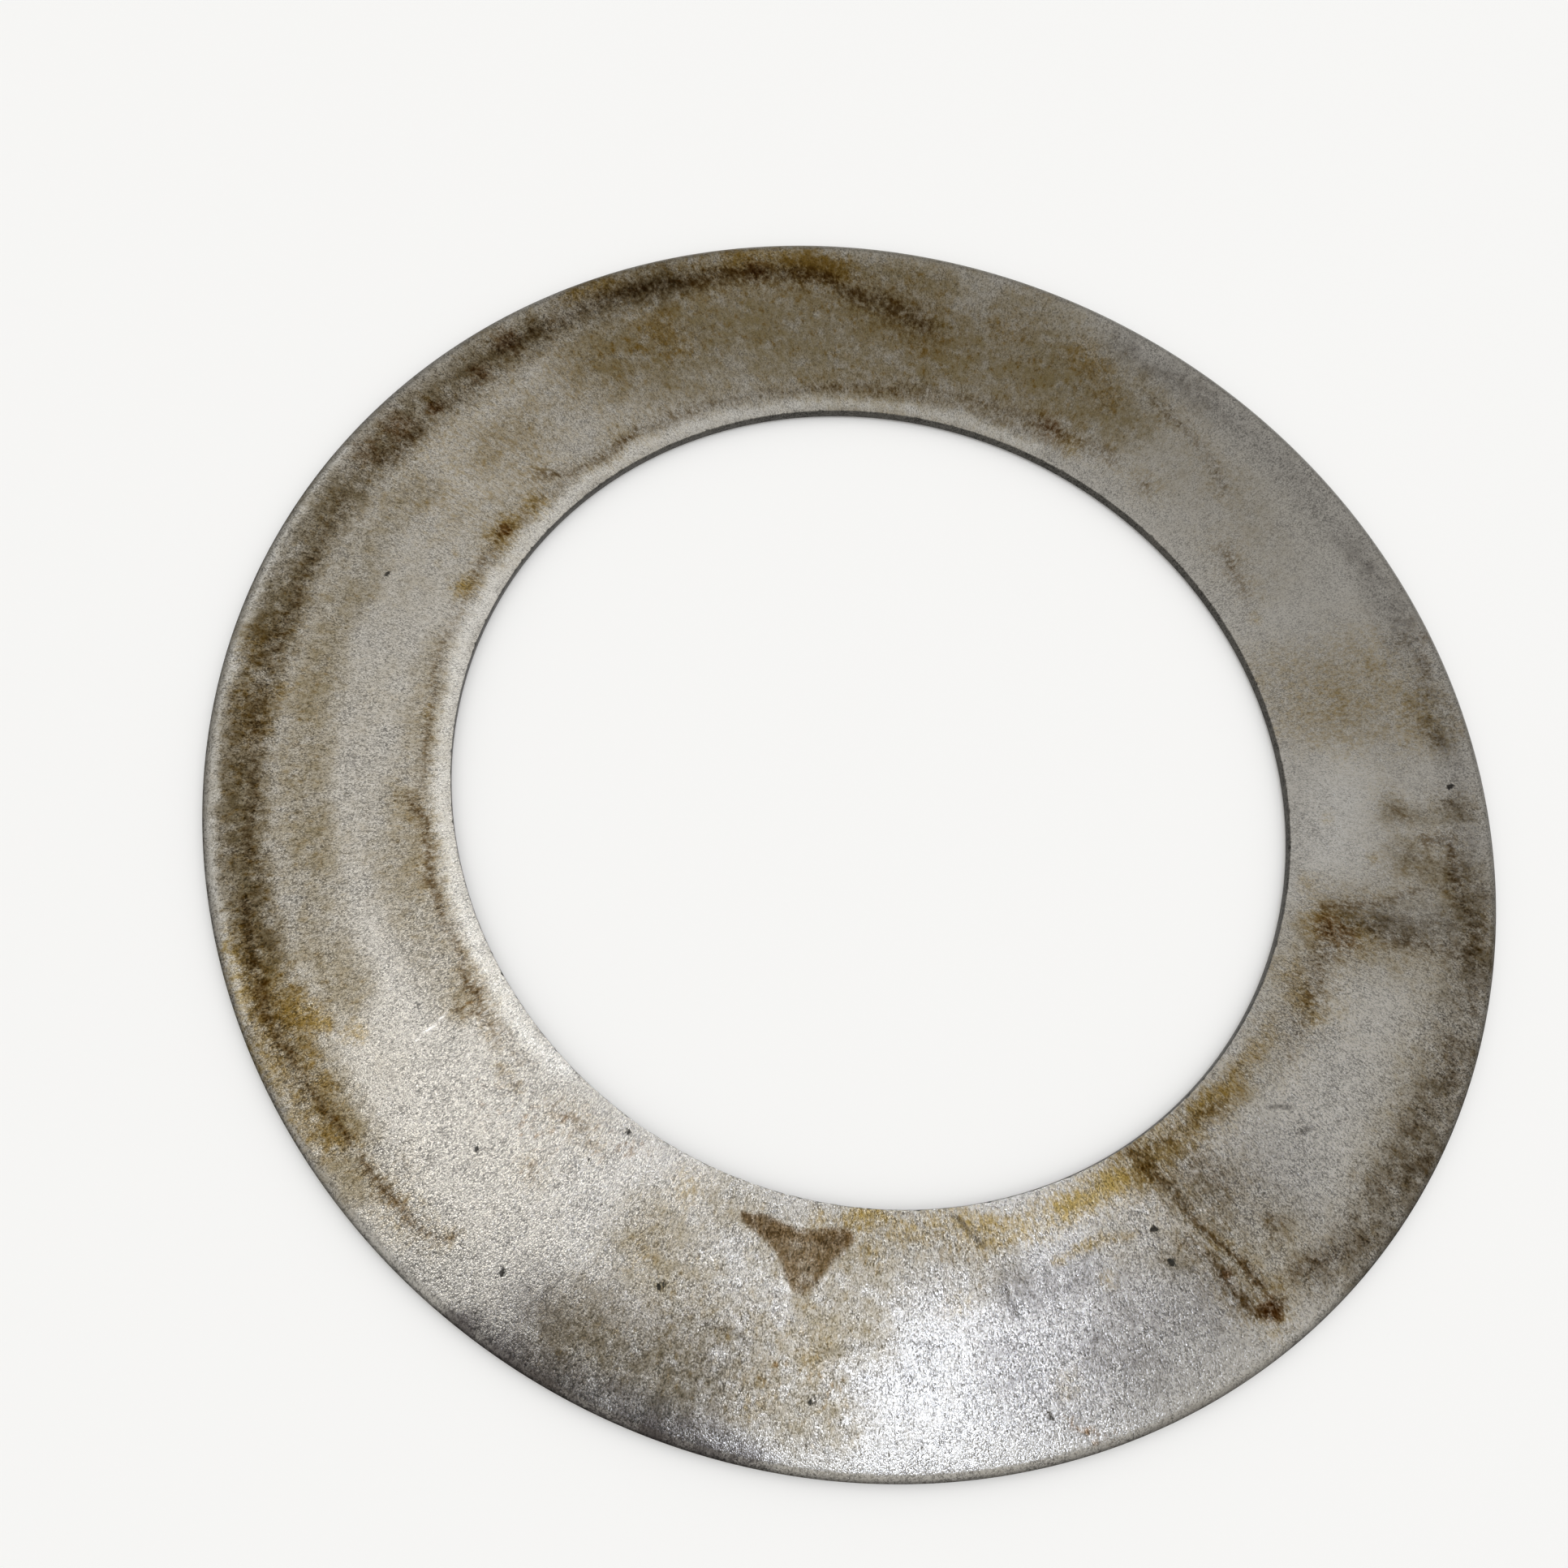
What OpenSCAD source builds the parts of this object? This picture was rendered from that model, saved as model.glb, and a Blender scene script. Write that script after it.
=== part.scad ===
// Flat shim washer, blanked from steel sheet.
// The bore is pierced from below and the rim is blanked from above, so each wall has a rolled edge
// where the tool entered, then a burnished land, then a torn zone that leans away from the tool.
// The axis is Z, and the washer lies on the plane Z = 0.

/* [Washer] */
// Diameter of the shaft that the washer slides over
shaft_d = 65; // [20:0.5:80]
// Diametral clearance between the shaft and the bore
bore_clearance = 0.2; // [0.05:0.05:0.6]
// Diameter over the outer rim
outer_d = 99.8; // [90:0.1:160]
// Thickness of the sheet
thickness = 1; // [0.8:0.05:3]

/* [Stamped edges] */
// Width of the edge that rolls in where the tool enters the sheet
roll_w = 0.6; // [0.3:0.05:0.9]
// Depth of that rolled edge at the wall
roll_h = 0.2; // [0.1:0.05:0.3]
// Height of the torn zone, on the side where the tool leaves the sheet
tear_h = 0.35; // [0.2:0.05:0.45]
// Distance that the torn zone leans back from the burnished land
tear_w = 0.06; // [0.02:0.01:0.1]

/* [Hidden] */

bore_r = (shaft_d + bore_clearance) / 2;
rim_r = outer_d / 2;
steel = "#9a958b";
// Arc that leaves the face in line with it and meets the wall at the roll's depth
roll_r = (roll_w * roll_w + roll_h * roll_h) / (2 * roll_h);
// Faces round the washer in a preview
$fn = 180;

// What a rolled edge takes off a square corner at the origin, with the sheet at +X and +Y
module rolled_corner() {
    difference() {
        square([2 * roll_w, 2 * roll_h], center = true);
        translate([roll_w, roll_r])
            circle(roll_r);
    }
}

// Cross-section of the sheet from the bore to the rim: radius along X, height along Y
module stamped_section() {
    difference() {
        polygon([
            [bore_r, 0],
            [bore_r, thickness - tear_h],
            [bore_r + tear_w, thickness],
            [rim_r, thickness],
            [rim_r, tear_h],
            [rim_r - tear_w, 0]
        ]);
        translate([bore_r, 0])
            rolled_corner();
        translate([rim_r, thickness])
            rotate(180)
                rolled_corner();
    }
}

module shim_washer() {
    color(steel)
        rotate_extrude()
            stamped_section();
}

shim_washer();
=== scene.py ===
import math

import bpy
import numpy as np
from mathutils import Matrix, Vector, noise


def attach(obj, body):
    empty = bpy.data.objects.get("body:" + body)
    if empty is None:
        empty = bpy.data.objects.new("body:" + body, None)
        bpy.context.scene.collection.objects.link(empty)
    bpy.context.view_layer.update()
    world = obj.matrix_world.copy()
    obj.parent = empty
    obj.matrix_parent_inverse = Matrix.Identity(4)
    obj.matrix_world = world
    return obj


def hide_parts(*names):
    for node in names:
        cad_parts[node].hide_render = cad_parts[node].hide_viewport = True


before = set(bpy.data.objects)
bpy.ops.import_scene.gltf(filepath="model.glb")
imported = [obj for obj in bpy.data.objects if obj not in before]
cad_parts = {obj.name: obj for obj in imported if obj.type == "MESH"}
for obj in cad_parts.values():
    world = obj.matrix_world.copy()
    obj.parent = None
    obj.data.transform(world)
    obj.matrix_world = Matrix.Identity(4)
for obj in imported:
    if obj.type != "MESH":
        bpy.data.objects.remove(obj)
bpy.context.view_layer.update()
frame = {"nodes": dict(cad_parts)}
mm = 0.001
print("frame loaded:", ", ".join(frame["nodes"]))


def linearColour(hexText):
    parts = [int(hexText[i:i + 2], 16) / 255 for i in (1, 3, 5)]
    return [c / 12.92 if c <= 0.04045 else ((c + 0.055) / 1.055) ** 2.4 for c in parts] + [1.0]


# inputs maps a socket's name or number to a value or to the socket that feeds it
def addNode(tree, kind, settings, inputs):
    node = tree.nodes.new(kind)
    for name, value in settings.items():
        setattr(node, name, value)
    for key, value in inputs.items():
        if isinstance(value, bpy.types.NodeSocket):
            tree.links.new(value, node.inputs[key])
        else:
            node.inputs[key].default_value = value
    return node


# the washer: one stamped ring, lying on the floor with its rolled rim up; all sizes in mm
shimWasher = {
    "rimRadius": 49.9,
    "boreRadius": 32.6,
    "thickness": 1.0,
    "rollWidth": 0.6,  # edge drawn in where the die entered: rim above, bore below
    "rollDepth": 0.2,
    "rollSteps": 8,
    "tearHeight": 0.35,  # torn zone of each wall, and how far it leans back
    "tearLean": 0.06,
    "rimLand": 0.55,  # height of one more ring of points on each burnished land
    "boreLand": 0.45,
    "stepsRound": 960,
    "stepsAcross": 64,
    "stepsUnder": 12,
    "sharpAngle": 32,  # degrees, edges that turn more than this stay crisp
    "nickDepth": 0.07,  # small chips along the sharp upper edge of the bore
    "nickStart": 0.4,  # only the higher waves chip
    "nickMost": 3,
    "nickWaves": (60, 420),  # per turn
    "ripple": 0.02,  # unevenness of the torn zones
    "rippleWaves": (40, 480),
    "drift": [(3.1, 0.4), (0.8, 0.3)],  # how stains wander from their routes: size of the waves, reach
    "fineDrift": 0.3,  # share of that for fine marks
    "brownBody": 0.35,  # a brown mark's soft body
    "brownMiddle": 0.45,  # and its dark thin middle
    "ochreHalo": 0.3,  # ochre that bleeds out around it
    "filmWiped": 0.8,  # film gone where the face is wiped
    "dropStrength": 1.3,
    "dropEdge": 3,  # per mm, how hard the drop's outline is
    "rimGrimeAndShade": (0.15, 0.4, 0.8),  # grime and painted shade on the last three steps of the rolled rim
    # how far each kind of stain bleeds, in half widths of its strokes
    "stainSpread": {
        "oilFilm": 1.3, "brownStain": 1.9, "ochreStain": 1.8, "rust": 1.6, "tarnish": 1.3, "wiped": 1.2,
        "pit": 1.0, "rustSpecks": 1.2, "hairline": 1.2, "scratch": 1.0, "worn": 1.6, "dropThin": 1.6,
        "halo": 4.0, "middle": 0.9,
    },
}


# route of a stroke that follows the ring, with a point about every 6 degrees
def arcRoute(radius, start, end, halfWidth):
    turns = np.radians(np.linspace(start, end, 2 + int(abs(end - start) / 6)))
    return [(radius * math.cos(a), radius * math.sin(a), halfWidth) for a in turns]


# Stains on the upper face. A stroke is (strength, [(x, y, half width), ...]) in mm from the bore's axis,
# with +Y away from the viewer.
stains = {
    "oilFilm": [
        (1.05, arcRoute(47.2, 82, 218, 2.4)),
        (0.35, arcRoute(48.6, 92, 215, 0.9)),
        (1.1, [(-22, 36, 6), (-13, 39, 8), (0, 41, 10), (12, 40, 9), (21, 36, 5.5)]),
        (0.6, [(-24, 42, 4), (-12, 46.5, 4), (0, 46, 4.5), (8, 45, 4)]),
        (0.15, [(26, 33, 7), (33, 25, 7)]),
        (0.25, [(-31, 26, 4), (-25, 31, 4)]),
        (0.2, [(34, 9, 5), (41, 9, 6), (46, 8, 4)]),
        (0.4, [(46, -8, 5), (44.5, -18, 4.5), (40, -27, 5), (33, -35.5, 4)]),
        (0.45, [(36, -11, 4), (43, -11, 5)]),
        (0.45, [(22, -26, 2.5), (27, -22, 2.5), (30.5, -17, 3), (33, -12, 3)]),
        (0.5, [(41.5, -1, 1.5), (44.5, -1.4, 1.2), (48, -0.3, 1.4)]),
        (0.6, [(42.5, -5, 2.5), (46, -8, 2.8), (46.8, -12.5, 2.8)]),
        (0.6, [(19, -29, 4), (23, -32, 4.5), (27, -35, 4.5)]),
        (0.6, [(-44, 22, 3), (-46.5, 10, 2.5), (-47, 0, 2.5), (-46, -9, 2.5), (-44, -17, 3),
               (-40.5, -25, 2.2), (-36, -31.5, 2)]),
        (0.35, [(-34.5, 8, 2), (-35.5, -2, 2.5), (-34.5, -8, 2)]),
        (0.5, [(-36, -4, 2.5), (-35.5, -9, 3.2), (-33.5, -14.5, 2.8), (-31, -19, 2)]),
        (0.4, [(16, -34, 2.5), (20, -35, 3)]),
        (0.2, [(-33, 14, 2.5), (-29.5, 20, 3), (-24, 25, 3), (-18, 31, 3)]),
        (0.55, [(-41, 24, 3), (-36, 30, 3), (-31, 36, 3.5)]),
        (0.6, [(-17, -35, 4), (-13, -40, 5), (-8, -42, 5), (-4, -40, 4)]),
        (0.45, [(-12, -33, 3), (-7, -35.5, 4), (0, -36, 4), (6, -36, 3)]),
        (0.65, arcRoute(43, 150, 206, 2.6)),
        (0.15, arcRoute(39, 150, 196, 3)),
        (0.6, [(-21, -41, 4), (-12, -43, 4), (-6, -45, 4)]),
    ],
    "brownStain": [
        # all round the rim and the bore
        (0.22, arcRoute(46.6, 95, 200, 0.9)),
        (0.25, arcRoute(34.8, 62, 222, 0.5)),
        # hooked line at the lower right
        (0.7, [(17.3, -28.4, 1.1), (18.6, -29.4, 1.6), (20, -31, 1.0), (21.2, -32.6, 0.6)]),
        (1.0, [(20.6, -31.8, 0.5), (21.8, -33.3, 0.45), (23, -34.4, 0.42), (24.5, -35.7, 0.42),
               (25.3, -36.7, 0.45), (25.7, -37.5, 0.45)]),
        (0.6, [(20.5, -34.4, 0.5), (22, -35.6, 0.6), (23.3, -36.8, 0.8), (24.2, -38.1, 0.8),
               (25.3, -39, 0.7)]),
        (0.9, [(25.6, -39.1, 0.5), (26.6, -38.9, 0.8), (27.3, -38.5, 0.6)]),
        (0.4, [(18.6, -28.2, 0.9), (20.4, -27, 0.8), (22.2, -26, 0.8), (24.2, -25.2, 0.9)]),
        (0.4, [(21.5, -28.6, 2.0), (23.4, -30.8, 1.8)]),
        (0.45, [(28.4, -36.7, 0.9), (30.5, -35.9, 1.0), (32.3, -35.1, 0.8), (34, -34.3, 0.7)]),
        (0.45, [(27.1, -33, 1.0)]),
        (0.3, [(33.4, -32.7, 0.6)]),
        (0.25, [(32.7, -33.6, 0.4)]),
        # smears along the rim below the right-hand blot
        (0.4, [(43.6, -19, 1.2), (42.6, -22.6, 1.2)]),
        (0.3, [(39.4, -28.4, 1.4), (37, -30, 1.0), (35, -30.8, 0.8)]),
        (0.3, [(41, -24.6, 1.0), (38.6, -26.4, 0.8)]),
        (0.3, [(46.3, -13.4, 1.0), (45.4, -16.6, 1.2)]),
        # right-hand blot and the tide round it
        (0.5, [(34.6, -11, 1.1), (35.8, -11.6, 1.2)]),
        (0.5, [(34.6, -12.4, 1.2), (33.4, -14, 1.3), (32.2, -16.6, 1.3), (31, -19.5, 1.0)]),
        (0.42, [(34.4, -9.3, 0.8), (37, -8.9, 0.7), (40, -8.4, 0.5), (43, -7.5, 0.45), (45.6, -6.8, 0.4)]),
        (0.45, [(37.6, -10.6, 0.9), (40.4, -11.5, 1.0), (43.2, -12.3, 1.0), (46, -12.6, 0.9)]),
        (0.6, [(44, -3.3, 0.7), (45.9, -3.1, 0.6), (46.3, -5.5, 0.7), (46, -8, 0.7), (47, -10, 1.1),
               (46.4, -12, 0.9)]),
        (0.25, [(42, -5, 1.6), (44.4, -5.4, 1.6)]),
        (0.4, [(34.4, -13.2, 0.6), (33, -13.6, 0.6), (31.6, -14.6, 0.6), (31, -15.8, 0.5),
               (32.6, -15.9, 0.4)]),
        (0.3, [(30.2, -19.6, 0.9), (30, -21.4, 0.7)]),
        (0.35, [(41.8, -0.8, 1.0), (43, -1.4, 0.8)]),
        (0.4, [(46, 0, 0.9), (48.2, -0.2, 0.9)]),
        (0.35, [(46, 13, 0.9), (46.3, 11.6, 0.8)]),
        (0.25, [(43.6, 14.2, 0.7), (45.6, 14.9, 0.7), (47.4, 14.6, 0.7)]),
        (0.2, [(44.6, 6.8, 0.8), (46.8, 5.4, 0.8)]),
        (0.3, [(24.3, 36.8, 0.8), (26.9, 34.6, 0.8), (28.4, 32.5, 0.7), (29.6, 30.2, 0.8),
               (30.4, 28.2, 1.0)]),
        (0.4, [(29.8, 21.8, 1.1), (30.3, 19.8, 1.0), (31, 17.8, 0.8)]),
        (0.35, [(23, 27.8, 0.9)]),
        # tide along the far side of the bore
        (0.5, [(-27.2, 23.9, 0.9), (-25.6, 24.1, 0.6), (-23.6, 25.3, 0.5), (-21.5, 27, 0.6),
               (-19.6, 28.8, 0.6)]),
        (0.35, [(-19.6, 28.8, 0.6), (-17.3, 30.3, 0.8), (-14.2, 31.9, 0.6), (-10, 33.3, 0.6),
                (-5.5, 34.4, 0.7), (-1, 35, 0.8), (3.5, 35.4, 1.0), (8, 34.7, 1.0), (12, 33.9, 1.1),
                (15.2, 32.6, 1.1), (18.4, 31.4, 1.0), (20.6, 29.8, 0.9)]),
        # tide along the far rim
        (0.6, [(-39.6, 23.8, 1.1), (-37.4, 27, 1.0)]),
        (0.4, [(-36.2, 28.9, 0.9), (-33, 32, 1.0)]),
        (0.6, [(-31.4, 35.6, 1.1), (-28.2, 37.9, 1.1), (-25, 40.2, 1.0), (-22, 42, 1.2)]),
        (0.8, [(-22, 42, 1.2), (-18, 43.7, 1.0), (-14, 45.1, 1.1), (-10, 45.9, 1.1), (-6.5, 46.2, 1.2),
               (-4, 45.9, 1.2)]),
        (0.6, [(-3, 45.2, 1.4), (0, 44.2, 1.8), (2.5, 43.3, 2.0), (4.5, 42, 1.8)]),
        # tide inside the left rim
        (0.75, [(-45.8, -12.6, 0.5), (-45.2, -15, 0.6), (-44.4, -18, 0.8), (-43.4, -20.2, 0.9),
                (-42.3, -22.4, 0.8), (-41, -24.2, 0.6), (-39.6, -25.9, 0.5), (-38.1, -27.6, 0.4),
                (-36.6, -29.4, 0.35), (-35.2, -31.2, 0.45), (-33.8, -33, 0.7), (-32.4, -34.3, 0.6),
                (-31, -35.1, 0.4), (-29.8, -34.7, 0.25)]),
        (0.45, [(-42.2, 19.8, 0.7), (-44, 16, 0.6), (-45, 11.5, 0.6), (-46.4, 6, 1.0), (-46.8, 2, 0.9),
                (-46.2, -2.5, 0.5), (-46.1, -6, 0.5), (-45.9, -9.5, 0.6)]),
        # thin tide beside the left of the bore
        (0.4, [(-29.6, 19.2, 0.5), (-30.6, 17.4, 0.8), (-31.8, 15, 0.5), (-32.6, 12.2, 0.35)]),
        (0.4, [(-33.8, 9, 0.3), (-34.3, 6, 0.35), (-34.7, 3, 0.4), (-34.7, 0, 0.3), (-34.4, -2.6, 0.3)]),
        (0.6, [(-35.2, -4.2, 0.5), (-34, -6.3, 0.35), (-33.7, -8.6, 0.4), (-33.1, -11, 0.3),
               (-32.1, -13.6, 0.25), (-31, -16, 0.3), (-30.3, -17.7, 0.5), (-29.4, -18.9, 0.35),
               (-28.4, -20.8, 0.3), (-27.8, -22.2, 0.25)]),
        (0.5, [(-30.8, -19.7, 0.3), (-29, -19.9, 0.25)]),
        (0.85, [(-27.6, -23.7, 0.25), (-26.9, -24.4, 0.35), (-26.4, -25, 0.3)]),
        (0.4, [(-23.6, -26.6, 0.7), (-21.8, -27.4, 0.5)]),
        (0.4, [(-22.4, -28, 0.35), (-21, -28.6, 0.5)]),
        (0.35, [(-24.9, -30.5, 0.6)]),
        (0.3, [(-33.6, -30.4, 0.8)]),
        # thicker places in the dried drop
        (0.5, [(-5.2, -34.6, 0.7), (-3.8, -34.5, 0.5)]),
        (0.35, [(-10, -33.4, 0.5), (-8.6, -34.2, 0.5)]),
        (0.35, [(-6.6, -36.8, 0.5), (-6.5, -37.8, 0.4)]),
    ],
    "ochreStain": [
        (0.6, [(-3, -33.4, 1.0), (2, -33.7, 1.3), (7, -34, 1.3)]),
        (0.25, [(34, 9, 4), (40, 9, 5), (46, 8, 3)]),
        (0.15, [(-36, 20, 4), (-30, 28, 4), (-22, 34, 4)]),
        (0.4, [(34.5, -10.5, 1.6), (36.5, -11, 1.8)]),
        (0.72, [(-41.5, -20.2, 1.2), (-40, -20.9, 0.9)]),
        (0.56, [(-40.4, -23.4, 0.8)]),
        (0.48, [(-39.2, -25, 0.7)]),
        (0.4, [(-37.4, -21.4, 0.8)]),
        (0.4, [(-46, -16, 1.5), (-44.8, -19, 1.5), (-43.5, -22.5, 1.3), (-41.5, -26, 1.2),
               (-38.5, -29, 1.2)]),
        (0.25, [(-47.2, 8, 1.2), (-47.3, 4, 1.3), (-46.8, 0, 1.2)]),
        (0.4, [(-45.4, 3.4, 0.6)]),
        (0.48, [(-33.6, 16.4, 0.4)]),
        (0.48, [(-35, 15.1, 0.35)]),
        (0.45, [(-29.6, 19.2, 0.9), (-30.6, 17.4, 0.9)]),
        (0.5, [(-27.8, 21, 1.0)]),
        (0.6, [(-32.6, 13.4, 1.0)]),
        (0.4, [(-34.9, 2.8, 0.5)]),
        (0.48, [(-18.8, 39.2, 1.8), (-17, 37.6, 1.6)]),
        (0.4, [(-20, 36.8, 1)]),
        (0.56, [(-12, 47.2, 1.5), (-7, 47.6, 1.5), (-3, 47, 1.5)]),
        (0.48, [(-25.5, 41.8, 1), (-23, 43.2, 0.9)]),
        (0.48, [(18.5, 40.6, 1.5), (20, 39.2, 1.6)]),
        (0.48, [(20.5, 36.6, 1.3)]),
        (0.4, [(12, 42.4, 1.6)]),
        (0.32, [(17, 31.5, 1.2)]),
        (0.32, [(36, -1.8, 0.5)]),
        (0.32, [(38.9, -5.3, 0.5)]),
        (0.36, [(33.2, -7.4, 0.7)]),
        (0.32, [(31.8, 15.7, 0.6)]),
        (0.48, [(31, -15, 1.2), (32.2, -18, 0.8)]),
        (0.4, [(28.5, -19, 0.9)]),
        (0.4, [(9, -33.5, 1.2), (14, -31.5, 1.6), (19, -28.7, 1.4), (23, -25.6, 1.2), (26.5, -22, 1),
               (29, -18.5, 0.8)]),
        (0.55, [(22.3, -25.4, 0.6), (23.6, -24.5, 0.7), (25.2, -23.1, 0.6), (26.8, -21.2, 0.4)]),
        (1.0, [(12, -32.4, 1.1), (14.2, -31.3, 1.1), (16, -30.4, 0.9)]),
        (0.48, [(10.5, -33, 1)]),
        (0.48, [(11.3, -35.7, 0.35), (13.2, -35, 0.4), (15, -34.4, 0.4), (17.4, -33.9, 0.3)]),
        (0.9, [(-2.6, -33.1, 0.7), (-0.9, -33.2, 0.5)]),
        (0.36, [(-5.5, -33, 0.8)]),
        (0.32, [(2, -33.3, 0.9)]),
        (0.36, [(-1.6, -35.6, 0.9)]),
        (0.24, [(-14.5, -31.2, 1.2)]),
        (0.24, [(-17.4, -35.5, 1)]),
        (0.28, [(4, -38.6, 0.8)]),
        (0.28, [(11.4, -43.7, 0.9)]),
        (0.28, [(14.8, -37.2, 0.6)]),
        (0.24, [(-6, -42.5, 1)]),
        (0.24, [(-10, -44.5, 1.5)]),
    ],
    "tarnish": [
        # The first two strokes are painted shade, the dark reflection below the viewer along the near rim;
        # the third is painted shade that narrows the highlight on its right.
        (1.6, [(-29, -41.5, 2.5), (-24, -44.5, 3.5), (-17, -47.5, 4), (-11, -49.5, 2.5)]),
        (0.4, [(-24, -40, 4), (-14, -44, 5)]),
        (0.35, [(9, -43, 5), (15, -41.5, 6), (21, -38.5, 5)]),
        (0.25, [(23, -31, 4.5), (28, -30, 5)]),
        (0.4, [(47.4, -8, 2.6), (45.6, -18, 3), (40.8, -27.5, 3.4), (34, -36, 3)]),
        (0.3, arcRoute(47.6, -50, 62, 2.4)),
        (0.35, arcRoute(47.4, 112, 200, 2.4)),
        (0.35, [(8, -38, 2.5), (13, -37, 3)]),
        (0.45, [(36.5, -10.2, 1.2), (41, -10.3, 2), (46, -10.5, 3)]),
    ],
    # wiped clean beside the bore, along the rolled rim at the left, and at the right
    "wiped": [
        (0.6, arcRoute(33.4, 66, 226, 0.9)),
        (0.6, arcRoute(49.3, 150, 205, 0.5)),
        (0.35, [(36, -4, 4), (38, 2, 4)]),
    ],
    # grain rubbed smooth, at the far side and the right
    "worn": [
        (0.45, arcRoute(41, -8, 118, 9)),
        (0.3, arcRoute(41, 118, 160, 8)),
    ],
    "rust": [
        (0.55, [(34.9, -11, 1.2), (35.7, -11.5, 1.2)]),
        (0.8, [(23.5, -36.8, 0.35)]),
        (0.6, [(26.4, -38.9, 0.8)]),
        (0.7, [(12.6, -46.7, 0.25)]),
        (0.7, [(13.3, -47.5, 0.25)]),
        (0.5, [(14.6, -46.9, 0.2)]),
        (0.5, [(-39, 27.2, 1.2)]),
        (0.6, [(-36.4, 29.1, 0.8)]),
        (0.5, [(-33, 33, 1)]),
        (0.5, [(-31, 36.3, 1.2)]),
        (0.5, [(-10.5, 46.2, 1.2)]),
        (0.4, [(15, 32.7, 1.2)]),
        (0.5, [(-30, 18.4, 0.5)]),
        (0.4, [(-41, 24.5, 1.2)]),
    ],
    # patches where rust shows only as specks
    "rustSpecks": [
        (0.9, [(-28, -25.5, 2), (-24.5, -27.5, 2.6), (-20.5, -28.3, 2), (-17.5, -29, 1.2)]),
        (0.5, [(-26, -30.5, 1.2), (-23, -30.2, 1)]),
        (0.7, [(11.5, -46, 1), (13.5, -47.2, 1.2), (16, -46.8, 0.8)]),
        (0.5, [(-30.5, -18.5, 1.5), (-28.5, -21.5, 1.3)]),
        (0.5, [(-9, -42.5, 2), (-5, -44, 2)]),
        (0.4, [(2, -34, 2), (5, -36, 2), (4, -38.6, 1.5)]),
    ],
    "pit": [
        (1.0, [(-16.2, -37.8, 0.35)]),
        (0.8, [(-15.8, -37.6, 0.25)]),
        (1.0, [(-26.6, -37, 0.3)]),
        (1.0, [(-28.7, -29.1, 0.3)]),
        (1.0, [(-18.7, -27.8, 0.3)]),
        (0.7, [(-21.1, -29.7, 0.25)]),
        (1.0, [(-6.1, -44.9, 0.35)]),
        (1.0, [(18.5, -33.6, 0.4)]),
        (1.0, [(19.5, -35.8, 0.4)]),
        (0.8, [(-38.6, 13.9, 0.35)]),
        (0.9, [(46.7, 1.4, 0.3), (47.1, 1.6, 0.3)]),
        (0.6, [(10, -45.7, 0.35)]),
        (0.9, [(-22.6, -23.4, 0.3), (-22.3, -23.7, 0.25)]),
        (0.9, [(-21.7, -23.9, 0.25)]),
    ],
    "hairline": [
        (0.55, [(4, -33, 0.2), (5, -34, 0.25), (6, -34.9, 0.2)]),
        (0.55, [(7.3, -37.6, 0.2), (7.9, -38.9, 0.25), (8.1, -39.5, 0.3)]),
        (0.6, [(28.1, -24.9, 0.25), (28.9, -24.7, 0.2), (29.7, -24.8, 0.25)]),
        (0.5, [(30.1, -26.6, 0.25), (31.2, -26.4, 0.2)]),
        (0.4, [(31.6, -28.4, 0.25)]),
        (0.4, [(-13.2, -40.2, 0.2), (-11.2, -40.6, 0.25), (-10.2, -41.4, 0.25)]),
        (0.2, [(-6, -41.9, 0.2), (-3, -41.6, 0.2), (0, -41.2, 0.2), (3, -41.5, 0.2)]),
    ],
    # where the dried drop is thin
    "dropThin": [
        (0.6, [(-6.4, -36.6, 0.7), (-6.5, -38, 0.9)]),
        (0.4, [(-7.4, -35.2, 0.5), (-6.2, -35, 0.4)]),
    ],
    "scratch": [
        (0.42, [(-33.3, -21.9, 0.2), (-31.4, -19.9, 0.2)]),
        (0.3, [(-30.2, -23.3, 0.2), (-29.5, -22.5, 0.2)]),
        (0.25, [(-38.4, -15.6, 0.2), (-37, -14.2, 0.2)]),
    ],
}

# edge of the one dark drop that dried with a hard outline, in mm
driedDrop = [
    (-10.7, -33.0), (-9.4, -33.1), (-8.3, -33.4), (-7.1, -34.0), (-5.9, -34.1), (-4.8, -33.9),
    (-3.4, -34.1), (-3.0, -34.5), (-3.4, -35.1), (-4.4, -35.8), (-5.1, -36.8), (-5.8, -37.7),
    (-6.5, -38.3), (-7.3, -38.0), (-7.8, -36.9), (-8.3, -35.8), (-9.0, -34.9), (-10.0, -34.1),
    (-10.7, -33.4),
]


# outline of the sheet's section as (radius, height), from the bore's upper edge across the face and round
def stampedSection(w):
    t, rim, bore = w["thickness"], w["rimRadius"], w["boreRadius"]
    rollRadius = (w["rollWidth"] ** 2 + w["rollDepth"] ** 2) / (2 * w["rollDepth"])
    turns = np.linspace(0, math.asin(w["rollWidth"] / rollRadius), w["rollSteps"] + 1)
    roll = [(rollRadius * math.sin(a), rollRadius * (1 - math.cos(a))) for a in turns]
    face = np.linspace(bore + w["tearLean"], rim - w["rollWidth"], w["stepsAcross"] + 1)
    under = np.linspace(rim - w["tearLean"], bore + w["rollWidth"], w["stepsUnder"] + 1)
    line = [(r, t) for r in face]
    line += [(rim - w["rollWidth"] + x, t - y) for x, y in roll[1:]]
    line += [(rim, w["rimLand"]), (rim, w["tearHeight"])]
    line += [(rim - w["tearLean"] * k / 3, w["tearHeight"] * (1 - k / 3)) for k in (1, 2, 3)]
    line += [(r, 0) for r in under[1:]]
    line += [(bore + w["rollWidth"] - x, y) for x, y in roll[2::2]]
    line += [(bore, w["boreLand"]), (bore, t - w["tearHeight"])]
    line += [(bore + w["tearLean"] * k / 3, t - w["tearHeight"] * (1 - k / 3)) for k in (1, 2)]
    return np.array(line)


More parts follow.
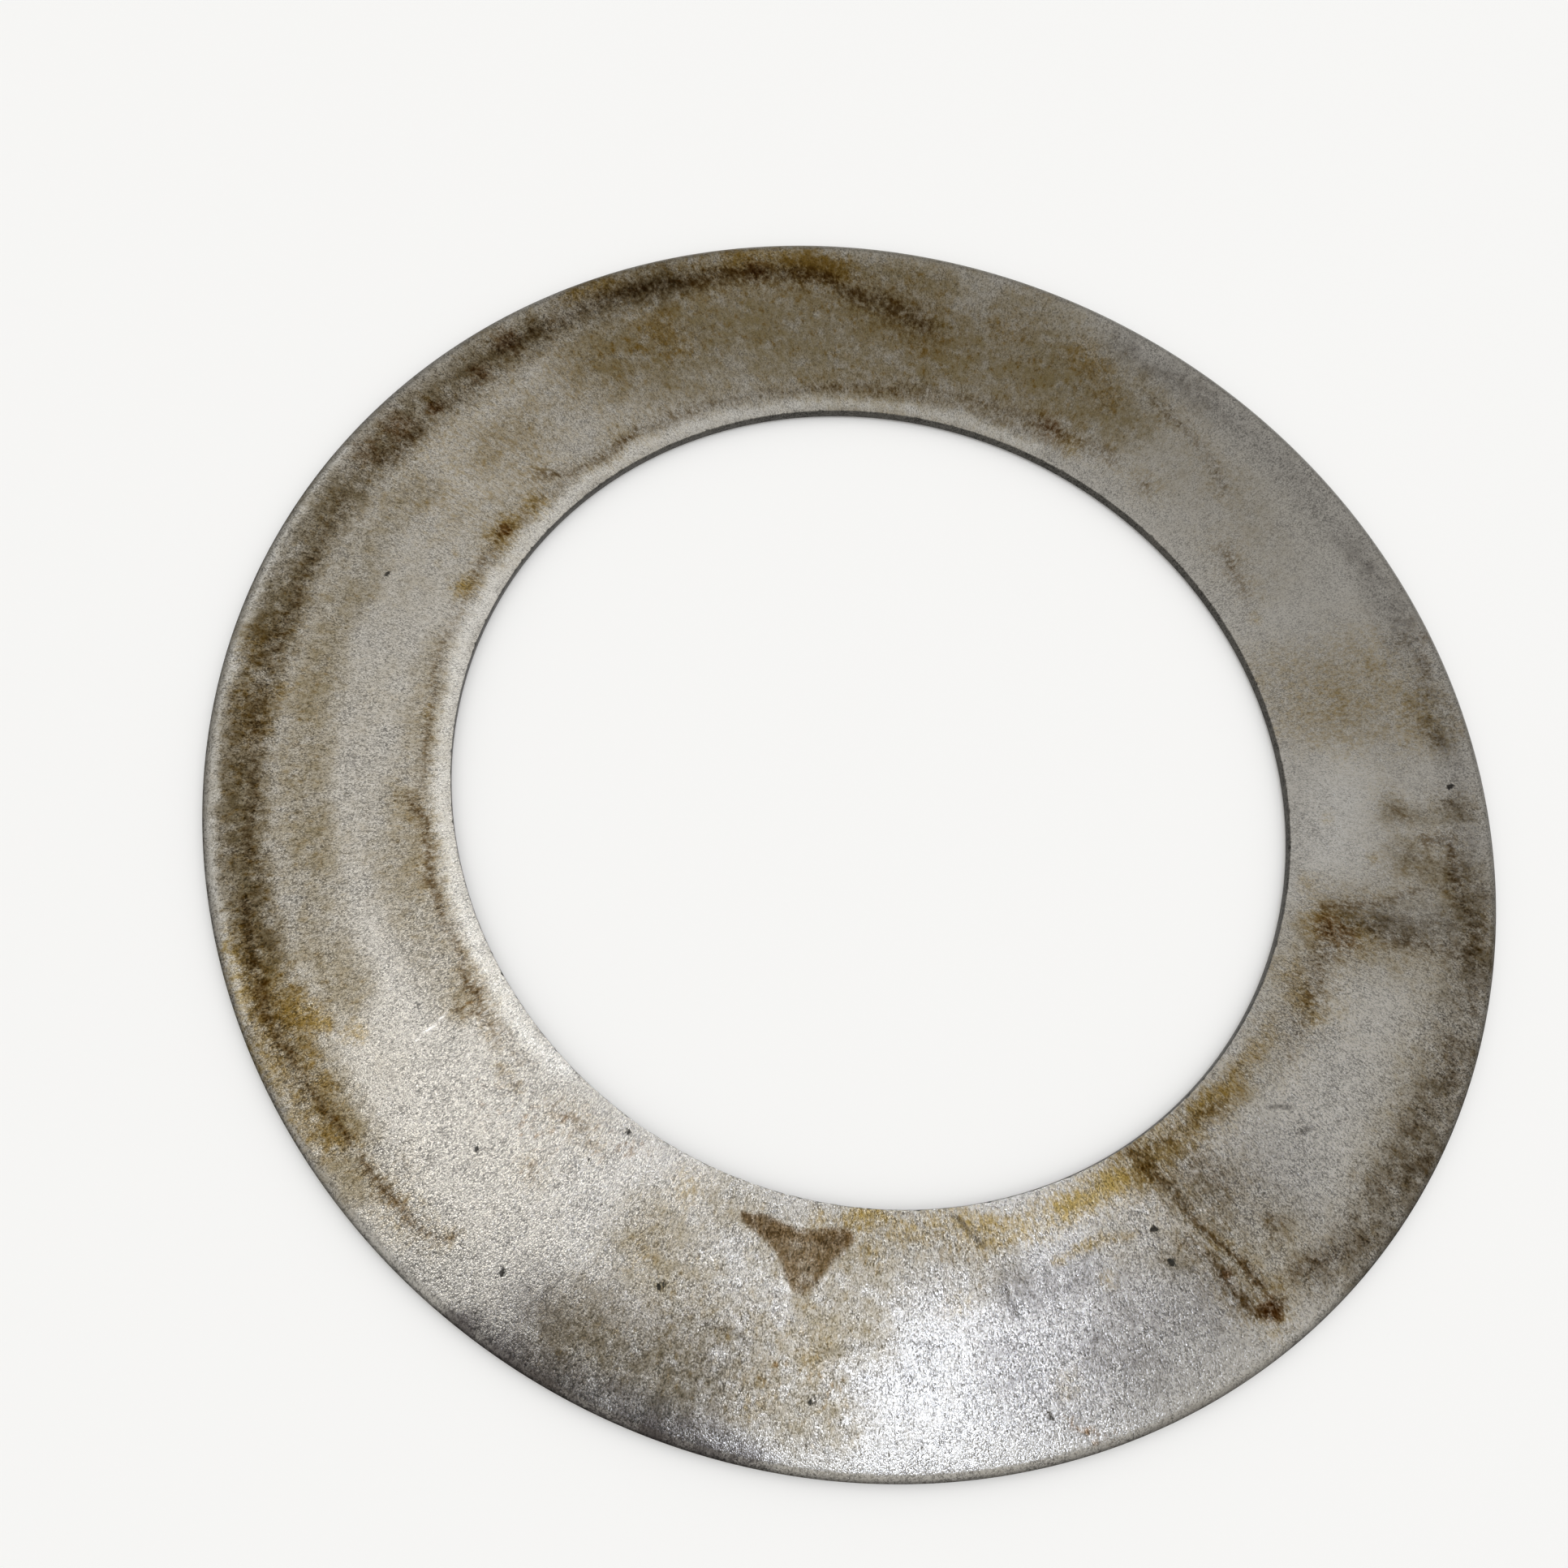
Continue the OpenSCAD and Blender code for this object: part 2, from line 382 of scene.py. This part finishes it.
# smooth random line round the ring, about -1 to 1, from waves of the given counts per turn
def unevenLine(seed, counts, steps):
    rng = np.random.default_rng(seed)
    total = 40
    angle = np.linspace(0, 2 * math.pi, steps, endpoint=False)
    waves = [np.sin(n * angle + rng.uniform(0, 2 * math.pi)) for n in rng.integers(*counts, total)]
    return np.sum(waves, axis=0) / math.sqrt(total)


# how strongly a set of strokes covers each point: 1 along a stroke's middle, fading out to spread half widths
def strokeCover(points, strokes, spread):
    cover = np.zeros(len(points))
    for strength, route in strokes:
        legs = list(zip(route, route[1:])) or [(route[0], route[0])]
        for (ax, ay, aw), (bx, by, bw) in legs:
            way = np.array([bx - ax, by - ay])
            past = ((points - (ax, ay)) @ way / max(way @ way, 1e-9)).clip(0, 1)
            gap = np.hypot(points[:, 0] - ax - past * way[0], points[:, 1] - ay - past * way[1])
            share = (1 - gap / (spread * (aw + (bw - aw) * past))).clip(0, 1)
            cover = np.maximum(cover, strength * share * share * (3 - 2 * share))
    return cover


# signed distance from a closed outline, positive inside
def insideDepth(points, outline):
    nearest = np.full(len(points), 1e9)
    odd = np.zeros(len(points), bool)
    for (ax, ay), (bx, by) in zip(outline, outline[1:] + outline[:1]):
        way = np.array([bx - ax, by - ay])
        past = ((points - (ax, ay)) @ way / (way @ way)).clip(0, 1)
        gap = np.hypot(points[:, 0] - ax - past * way[0], points[:, 1] - ay - past * way[1])
        nearest = np.minimum(nearest, gap)
        crosses = (ay > points[:, 1]) != (by > points[:, 1])
        odd ^= crosses & (points[:, 0] < ax + (points[:, 1] - ay) * (bx - ax) / ((by - ay) or 1e-9))
    return np.where(odd, nearest, -nearest)


def buildShimWasher(w):
    section = stampedSection(w)
    around, across = w["stepsRound"], len(section)
    # columns of the section: end of the rolled rim, last of the rim's wall, first of the bore's wall
    rollEnd = w["stepsAcross"] + w["rollSteps"]
    rimFoot = rollEnd + 5
    boreFoot = across - 8
    angle = np.linspace(0, 2 * math.pi, around, endpoint=False)
    radius = np.repeat(section[None, :, 0], around, 0)
    height = np.repeat(section[None, :, 1], around, 0)
    # chips in the sharp edge of the bore, half as deep just below it, and an uneven torn zone on both walls
    chips = unevenLine(3, w["nickWaves"], around).clip(w["nickStart"], w["nickMost"]) - w["nickStart"]
    radius[:, 0] += w["nickDepth"] * chips
    radius[:, -1] += 0.5 * w["nickDepth"] * chips
    for k, seed in ((-1, 5), (-2, 6)):
        radius[:, k] += w["ripple"] * unevenLine(seed, w["rippleWaves"], around)
    for k, seed in ((rimFoot - 2, 8), (rimFoot - 1, 9), (rimFoot, 10)):
        radius[:, k] -= w["ripple"] * np.abs(unevenLine(seed, w["rippleWaves"], around))
    x, y = radius * np.cos(angle)[:, None], radius * np.sin(angle)[:, None]
    verts = np.stack([x, y, height], -1).reshape(-1, 3)
    i, j = np.meshgrid(np.arange(around), np.arange(across), indexing="ij")
    i2, j2 = (i + 1) % around, (j + 1) % across
    corners = [i * across + j, i * across + j2, i2 * across + j2, i2 * across + j]
    faces = np.stack(corners, -1).reshape(-1, 4)
    mesh = bpy.data.meshes.new("shimWasher")
    mesh.from_pydata((verts * mm).tolist(), [], faces.tolist())
    mesh.validate()
    mesh.polygons.foreach_set("use_smooth", [True] * len(mesh.polygons))
    mesh.set_sharp_from_angle(angle=math.radians(w["sharpAngle"]))
    washer = bpy.data.objects.new("shimWasher", mesh)
    bpy.context.scene.collection.objects.link(washer)

    # stains wander a little from their routes, the same way in every run; fine marks keep closer to theirs
    noise.seed_set(7)
    drift = np.array([
        sum((Vector(noise.noise_vector(Vector(p) / size)) * reach for size, reach in w["drift"]), Vector())
        for p in verts])
    place = verts[:, :2] + drift[:, :2]
    steady = verts[:, :2] + w["fineDrift"] * drift[:, :2]
    fields = {}
    for name, strokes in stains.items():
        route = steady if name in ("pit", "hairline", "scratch") else place
        fields[name] = strokeCover(route, strokes, w["stainSpread"][name])
    # brown marks have a dark thin middle in a soft body, and bleed into a wide ochre halo
    middle = strokeCover(place, stains["brownStain"], w["stainSpread"]["middle"])
    halo = strokeCover(place, stains["brownStain"], w["stainSpread"]["halo"])
    fields["brownStain"] = w["brownBody"] * fields["brownStain"] + w["brownMiddle"] * middle
    fields["ochreStain"] += w["ochreHalo"] * halo
    fields["oilFilm"] *= 1 - w["filmWiped"] * fields["wiped"]
    drop = (0.5 + w["dropEdge"] * insideDepth(steady, driedDrop)).clip(0, 1) * w["dropStrength"]
    fields["driedDrop"] = drop * (1 - fields.pop("dropThin"))
    # only the upper face is stained
    column = np.tile(np.arange(across), around)
    fields = {name: np.where(column <= rollEnd, values, 0) for name, values in fields.items()}
    # grime and painted shade on both walls, thinning out up the rolled rim
    wall = (column > rollEnd) & (column <= rimFoot) | (column >= boreFoot)
    fields["wallGrime"] = np.where(wall, 1.0, 0.0)
    for step, amount in enumerate(reversed(w["rimGrimeAndShade"])):
        fields["wallGrime"][column == rollEnd - step] = amount
    for name, values in fields.items():
        mesh.attributes.new(name, "FLOAT", "POINT").data.foreach_set("value", values.astype(np.float32))
    print("shim washer:", len(verts), "points,", 2 * len(faces), "triangles")
    return washer


washer = buildShimWasher(shimWasher)

# Cold-rolled steel sheet, pickled and tumbled: a grey metal with a fine pebbled grain, its tops painted
# bright as glints and its gaps painted dark as shade as well as grime, under a thin brown film of old oil,
# with ochre and rust where damp has sat.
coldRolledSteel = {
    # pebble tops painted bright as glints, gaps painted dark as shade and grime
    "grainTopAndGlint": "#a8a49c",
    "grainGapAndShade": "#3d3a36",
    "wiped": "#c6c4be",
    "oilFilm": "#ae9e75",
    "ochreStain": "#d6ba69",
    "rust": "#b08443",
    "brownStain": "#826a42",
    # tarnish, and the painted shade of the strokes below the viewer and right of the highlight
    "tarnish": "#7f7b7e",
    "driedDrop": "#94794c",
    "hairline": "#4b4237",
    # dark grime and painted shade on the walls and the lower rolled rim
    "wallGrime": "#2b2824",
    "pit": "#1a1815",
    "scratch": "#e4e1da",
    "grain": 0.08,  # mm, pitch of the pebbles
    "grainStretch": 1.6,  # pebbles are longer along the radius
    "streakStretch": 9.0,  # and so are the faint lines between them
    "streakShare": 0.22,
    "meanRadius": 41,  # mm, circle that the grain is laid out round
    "pebble": (0.1, 0.8, 0.75, 0.25),  # distance from a pebble's middle, and its height there
    "pebbleSoftness": 0.35,
    "bend": 0.5,  # how far pebbles are pushed out of line, in pitches
    "tiltSheenShare": 0.5,  # each pebble's own brightness, painted as the glint of its tilt, against its rounded top
    # size in mm, detail and roughness of the patterns that follow the grain
    "blotch": (0.45, 3.0, 0.6),  # patches of darker and paler grain
    "fleck": (0.5, 3.0, 0.6),  # ochre specks in the film
    "crumb": (0.28, 3.0, 0.65),  # specks that stains break into at their edges
    # and of those that don't
    "mottle": (1.3, 5.0, 0.62),
    "cloud": (7.0, 4.0, 0.6),
    # how much each pattern brings up the pebble tops, from a level where few show
    "lift": {"mottle": 0.4, "blotch": 0.12, "cloud": 0.3, "wiped": 0.1},
    "liftLevel": -0.38,
    "topRange": (0.06, 0.66, 0.0, 1.0),  # from gap to top
    "wornLevel": 0.66,  # evenness of the grain where it is rubbed smooth
    "clearness": 0.2,  # light let through by a full stain
    # range of a pattern, and what it multiplies a stain by at both ends
    "patches": {
        "mottle": (0.3, 0.7, 0.3, 1.7),
        "blotch": (0.34, 0.66, 1.3, 0.7),
        "cloud": (0.36, 0.64, 0.5, 1.5),
        "top": (0.0, 1.0, 1.6, 0.8),
    },
    "haze": (0.42, 0.65, 0.0, 0.05),  # thin film in the clouds
    "fleckRange": (0.5, 0.72, 0.0, 0.45),
    "crumbRange": (0.34, 0.62, 1.7, -0.1),
    "ragged": {"pit": 0.7, "scratch": 0.3},  # how far the grain breaks up a mark's edge
    "markRange": (0.12, 0.5, 0.0, 0.92),
    "grainDepth": 0.018,  # mm
    "roughness": 0.18,
    "roughMottle": 0.12,
    "roughFilm": 0.08,
    "roughGrime": 0.3,
}


def makeColdRolledSteel(f):
    material = bpy.data.materials.new("coldRolledSteel")
    material.use_nodes = True
    tree = material.node_tree
    tree.nodes.clear()
    place = addNode(tree, "ShaderNodeTexCoord", {}, {}).outputs["Object"]
    ends = ("From Min", "From Max", "To Min", "To Max")

    # grain runs along the radius: direction on a mean circle, with the radius drawn out along Z
    flat = addNode(tree, "ShaderNodeVectorMath", {"operation": "MULTIPLY"}, {
        0: place, 1: (1, 1, 0)}).outputs[0]
    bearing = addNode(tree, "ShaderNodeVectorMath", {"operation": "NORMALIZE"}, {0: flat}).outputs[0]
    bearing = addNode(tree, "ShaderNodeVectorMath", {"operation": "SCALE"}, {
        0: bearing, "Scale": f["meanRadius"] * mm}).outputs[0]
    reach = addNode(tree, "ShaderNodeVectorMath", {"operation": "LENGTH"}, {0: flat}).outputs["Value"]
    reach = addNode(tree, "ShaderNodeMath", {"operation": "DIVIDE"}, {
        0: reach, 1: f["grainStretch"]}).outputs[0]
    rise = addNode(tree, "ShaderNodeSeparateXYZ", {}, {0: place}).outputs["Z"]
    rise = addNode(tree, "ShaderNodeMath", {"operation": "SUBTRACT"}, {0: reach, 1: rise}).outputs[0]
    rise = addNode(tree, "ShaderNodeCombineXYZ", {}, {"Z": rise}).outputs[0]
    along = addNode(tree, "ShaderNodeVectorMath", {"operation": "ADD"}, {0: bearing, 1: rise}).outputs[0]

    # pebbles crowd together, each with its own brightness and height painted as the glint of its tilt, with
    # creases between them
    wobble = addNode(tree, "ShaderNodeTexNoise", {"normalize": False}, {
        "Vector": along, "Scale": 1 / (2 * f["grain"] * mm), "Detail": 1.0}).outputs["Color"]
    bent = addNode(tree, "ShaderNodeVectorMath", {"operation": "MULTIPLY_ADD"}, {
        0: wobble, 1: [f["bend"] * f["grain"] * mm] * 3, 2: along}).outputs[0]
    cell = addNode(tree, "ShaderNodeTexVoronoi", {"feature": "SMOOTH_F1"}, {
        "Vector": bent, "Scale": 1 / (f["grain"] * mm), "Smoothness": f["pebbleSoftness"]})
    tilt = addNode(tree, "ShaderNodeSeparateColor", {}, {0: cell.outputs["Color"]}).outputs["Red"]
    pebble = addNode(tree, "ShaderNodeMapRange", {}, {
        "Value": cell.outputs["Distance"], **dict(zip(ends, f["pebble"]))}).outputs["Result"]
    drawn = addNode(tree, "ShaderNodeVectorMath", {"operation": "MULTIPLY"}, {
        0: along, 1: (1, 1, 1 / f["streakStretch"])}).outputs[0]
    streak = addNode(tree, "ShaderNodeTexNoise", {}, {
        "Vector": drawn, "Scale": 1 / (f["grain"] * mm), "Detail": 2.0, "Roughness": 0.6}).outputs["Fac"]
    grain = addNode(tree, "ShaderNodeMix", {}, {0: f["tiltSheenShare"], 2: pebble, 3: tilt}).outputs[0]
    grain = addNode(tree, "ShaderNodeMix", {}, {0: f["streakShare"], 2: grain, 3: streak}).outputs[0]
    pattern = {}
    for name in ("blotch", "fleck", "crumb", "mottle", "cloud"):
        size, detail, roughness = f[name]
        pattern[name] = addNode(tree, "ShaderNodeTexNoise", {}, {
            "Vector": place if name in ("mottle", "cloud") else along, "Scale": 1 / (size * mm),
            "Detail": detail, "Roughness": roughness}).outputs["Fac"]

    # bare metal: more pebble tops show in the pale clouds, more gaps in the dark ones
    wiped = addNode(tree, "ShaderNodeAttribute", {"attribute_name": "wiped"}, {}).outputs["Fac"]
    pattern["wiped"] = wiped
    lift = f["liftLevel"]
    for name, amount in f["lift"].items():
        lift = addNode(tree, "ShaderNodeMath", {"operation": "MULTIPLY_ADD"}, {
            0: pattern[name], 1: amount, 2: lift}).outputs[0]
    lift = addNode(tree, "ShaderNodeMath", {"operation": "ADD"}, {0: lift, 1: grain}).outputs[0]
    top = addNode(tree, "ShaderNodeMapRange", {"interpolation_type": "SMOOTHSTEP"}, {
        "Value": lift, **dict(zip(ends, f["topRange"]))}).outputs["Result"]
    worn = addNode(tree, "ShaderNodeAttribute", {"attribute_name": "worn"}, {}).outputs["Fac"]
    top = addNode(tree, "ShaderNodeMix", {}, {0: worn, 2: top, 3: f["wornLevel"]}).outputs[0]
    pattern["top"] = top
    # pebble tops are painted glint, and gaps are painted shade as well as grime
    bright = addNode(tree, "ShaderNodeMix", {"data_type": "RGBA"}, {
        0: wiped, 6: linearColour(f["grainTopAndGlint"]), 7: linearColour(f["wiped"])}).outputs[2]
    colour = addNode(tree, "ShaderNodeMix", {"data_type": "RGBA"}, {
        0: top, 6: linearColour(f["grainGapAndShade"]), 7: bright}).outputs[2]

    # stains are patchy, rubbed thin on the tops of the grain, and darken less and less as they thicken
    share = {}
    patchy = 1.0
    for name, span in f["patches"].items():
        share[name] = addNode(tree, "ShaderNodeMapRange", {}, {
            "Value": pattern[name], **dict(zip(ends, span))}).outputs["Result"]
        patchy = addNode(tree, "ShaderNodeMath", {"operation": "MULTIPLY"}, {
            0: patchy, 1: share[name]}).outputs[0]
    spotted = addNode(tree, "ShaderNodeMath", {"operation": "MULTIPLY"}, {
        0: share["blotch"], 1: share["top"]}).outputs[0]
    uneven = {"driedDrop": spotted, "hairline": share["top"], "wallGrime": share["top"]}
    haze = addNode(tree, "ShaderNodeMapRange", {}, {
        "Value": pattern["cloud"], **dict(zip(ends, f["haze"]))}).outputs["Result"]
    fleck = addNode(tree, "ShaderNodeMapRange", {"interpolation_type": "SMOOTHSTEP"}, {
        "Value": pattern["fleck"], **dict(zip(ends, f["fleckRange"]))}).outputs["Result"]
    crumb = addNode(tree, "ShaderNodeMapRange", {}, {
        "Value": pattern["crumb"], **dict(zip(ends, f["crumbRange"]))}).outputs["Result"]
    cover = {}
    for name in ("oilFilm", "ochreStain", "rust", "brownStain", "tarnish", "driedDrop", "hairline",
                 "wallGrime"):
        field = addNode(tree, "ShaderNodeAttribute", {"attribute_name": name}, {}).outputs["Fac"]
        if name == "oilFilm":
            field = addNode(tree, "ShaderNodeMath", {"operation": "ADD"}, {0: field, 1: haze}).outputs[0]
            flecks = addNode(tree, "ShaderNodeMath", {"operation": "MULTIPLY"}, {
                0: field, 1: fleck}).outputs[0]
        if name == "ochreStain":
            field = addNode(tree, "ShaderNodeMath", {"operation": "ADD"}, {0: field, 1: flecks}).outputs[0]
        if name == "rust":
            speck = addNode(tree, "ShaderNodeAttribute", {"attribute_name": "rustSpecks"}, {}).outputs["Fac"]
            speck = addNode(tree, "ShaderNodeMath", {"operation": "MULTIPLY"}, {
                0: speck, 1: fleck}).outputs[0]
            field = addNode(tree, "ShaderNodeMath", {"operation": "ADD"}, {0: field, 1: speck}).outputs[0]
        if name in ("ochreStain", "rust", "brownStain"):
            crumbs = addNode(tree, "ShaderNodeMath", {"operation": "ADD"}, {0: crumb, 1: field}).outputs[0]
            crumbs = addNode(tree, "ShaderNodeMath", {"operation": "MAXIMUM"}, {0: crumbs, 1: 0.0}).outputs[0]
            field = addNode(tree, "ShaderNodeMath", {"operation": "MULTIPLY"}, {
                0: field, 1: crumbs}).outputs[0]
        depth = addNode(tree, "ShaderNodeMath", {"operation": "MULTIPLY"}, {
            0: field, 1: uneven.get(name, patchy)}).outputs[0]
        depth = addNode(tree, "ShaderNodeMath", {"operation": "POWER"}, {
            0: f["clearness"], 1: depth}).outputs[0]
        cover[name] = addNode(tree, "ShaderNodeMath", {"operation": "SUBTRACT"}, {
            0: 1.0, 1: depth}).outputs[0]
        colour = addNode(tree, "ShaderNodeMix", {"data_type": "RGBA", "blend_type": "MULTIPLY"}, {
            0: cover[name], 6: colour, 7: linearColour(f[name])}).outputs[2]

    # small marks that cover the metal
    for name, spread in f["ragged"].items():
        field = addNode(tree, "ShaderNodeAttribute", {"attribute_name": name}, {}).outputs["Fac"]
        ragged = addNode(tree, "ShaderNodeMath", {"operation": "MULTIPLY_ADD"}, {
            0: grain, 1: -spread, 2: 0.5 * spread}).outputs[0]
        ragged = addNode(tree, "ShaderNodeMath", {"operation": "ADD"}, {0: field, 1: ragged}).outputs[0]
        cover[name] = addNode(tree, "ShaderNodeMapRange", {"interpolation_type": "SMOOTHSTEP"}, {
            "Value": ragged, **dict(zip(ends, f["markRange"]))}).outputs["Result"]
        colour = addNode(tree, "ShaderNodeMix", {"data_type": "RGBA"}, {
            0: cover[name], 6: colour, 7: linearColour(f[name])}).outputs[2]

    rough = f["roughness"] - 0.5 * f["roughMottle"]
    for wave, amount in ((pattern["mottle"], f["roughMottle"]), (cover["oilFilm"], f["roughFilm"]),
                         (cover["wallGrime"], f["roughGrime"])):
        rough = addNode(tree, "ShaderNodeMath", {"operation": "MULTIPLY_ADD"}, {
            0: wave, 1: amount, 2: rough}).outputs[0]

    # the grain's relief, with pits sunk in it
    relief = addNode(tree, "ShaderNodeMath", {"operation": "MULTIPLY_ADD"}, {
        0: cover["pit"], 1: -1.0, 2: grain}).outputs[0]
    normal = addNode(tree, "ShaderNodeBump", {}, {
        "Strength": 1.0, "Distance": f["grainDepth"] * mm, "Height": relief}).outputs["Normal"]
    shader = addNode(tree, "ShaderNodeBsdfPrincipled", {}, {
        "Base Color": colour, "Metallic": 1.0, "Roughness": rough, "Normal": normal})
    addNode(tree, "ShaderNodeOutputMaterial", {}, {"Surface": shader.outputs["BSDF"]})
    print("cold-rolled steel:", len(tree.nodes), "nodes")
    return material


washer.data.materials.append(makeColdRolledSteel(coldRolledSteel))
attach(washer, "root")
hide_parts("shim_washer")

# Matt paper: pale, even and without gloss, lit a little from below like a light table. Sizes in m; it lies
# a hair under the washer.
floorSheet = {"size": 16.0, "drop": 0.00005, "colour": "#f4f3f0", "roughness": 0.9, "glow": 0.12}


def buildFloor(f):
    mesh = bpy.data.meshes.new("floor")
    h = f["size"] / 2
    mesh.from_pydata([(-h, -h, 0), (h, -h, 0), (h, h, 0), (-h, h, 0)], [], [(0, 1, 2, 3)])
    floor = bpy.data.objects.new("floor", mesh)
    bpy.context.scene.collection.objects.link(floor)
    floor.location.z = -f["drop"]
    material = bpy.data.materials.new("mattPaper")
    material.use_nodes = True
    shader = material.node_tree.nodes["Principled BSDF"]
    shader.inputs["Base Color"].default_value = linearColour(f["colour"])
    shader.inputs["Roughness"].default_value = f["roughness"]
    shader.inputs["Emission Color"].default_value = linearColour(f["colour"])
    shader.inputs["Emission Strength"].default_value = f["glow"]
    mesh.materials.append(material)
    print("floor laid")


buildFloor(floorSheet)

# a soft dome, bright overhead but for the dark gap the viewer looks through, with three softboxes
studio = {
    "dome": 1.5,
    # sine of the height above the floor, brightness
    "domeSteps": [(0.0, 0.36), (0.5, 0.42), (0.743, 0.54), (0.809, 0.72), (0.891, 0.72), (0.94, 0.68),
                  (0.98, 0.7), (0.988, 0.6), (0.994, 0.2), (1.0, 0.05)],
    # centre (m), width and depth (m), power (W), colour; they hang face down
    "softboxes": {
        "keySoftbox": ((0.222, -0.03, 1.0), (0.05, 0.05), 0.7, "#dde8ff"),
        "nearSoftbox": ((-0.06, 0.12, 1.0), (0.12, 0.12), 0.28, "#ffffff"),
        "fillSoftbox": ((-0.13, 0.41, 1.0), (0.2, 0.54), 0.22, "#ffffff"),
    },
}


def lightStudio(s):
    world = bpy.data.worlds.new("studio")
    bpy.context.scene.world = world
    world.use_nodes = True
    tree = world.node_tree
    tree.nodes.clear()
    way = addNode(tree, "ShaderNodeTexCoord", {}, {}).outputs["Generated"]
    up = addNode(tree, "ShaderNodeSeparateXYZ", {}, {0: way}).outputs["Z"]
    ramp = addNode(tree, "ShaderNodeValToRGB", {}, {"Fac": up})
    for k, (at, value) in enumerate(s["domeSteps"]):
        stop = ramp.color_ramp.elements[k] if k < 2 else ramp.color_ramp.elements.new(at)
        stop.position = at
        stop.color = (value, value, value, 1)
    glow = addNode(tree, "ShaderNodeBackground", {}, {"Color": ramp.outputs["Color"], "Strength": s["dome"]})
    addNode(tree, "ShaderNodeOutputWorld", {}, {"Surface": glow.outputs[0]})
    for name, (at, (width, depth), power, colour) in s["softboxes"].items():
        lamp = bpy.data.lights.new(name, "AREA")
        lamp.shape = "RECTANGLE"
        lamp.size, lamp.size_y = width, depth
        lamp.energy = power
        lamp.color = linearColour(colour)[:3]
        softbox = bpy.data.objects.new(name, lamp)
        bpy.context.scene.collection.objects.link(softbox)
        softbox.location = at
    print("studio lit by a dome and", len(s["softboxes"]), "softboxes")


lightStudio(studio)

# where the viewer stood: close above the near left side, tipped towards the far right
viewer = {
    "at": (-24.48, -44.81, 108.83),  # mm
    "turn": (21.622, -8.741, 0.0),  # degrees
    "lens": 35.68,  # mm
    "sensor": 36,
    "nearest": 0.005,  # m
    "farthest": 20,
}


def placeViewer(v):
    camera = bpy.data.objects.new("viewer", bpy.data.cameras.new("viewer"))
    bpy.context.scene.collection.objects.link(camera)
    camera.data.sensor_width = v["sensor"]
    camera.data.lens = v["lens"]
    camera.data.clip_start, camera.data.clip_end = v["nearest"], v["farthest"]
    camera.location = Vector(v["at"]) * mm
    camera.rotation_euler = [math.radians(a) for a in v["turn"]]
    bpy.context.scene.camera = camera
    print("viewer placed")


placeViewer(viewer)
bpy.context.scene.view_settings.view_transform = "Standard"
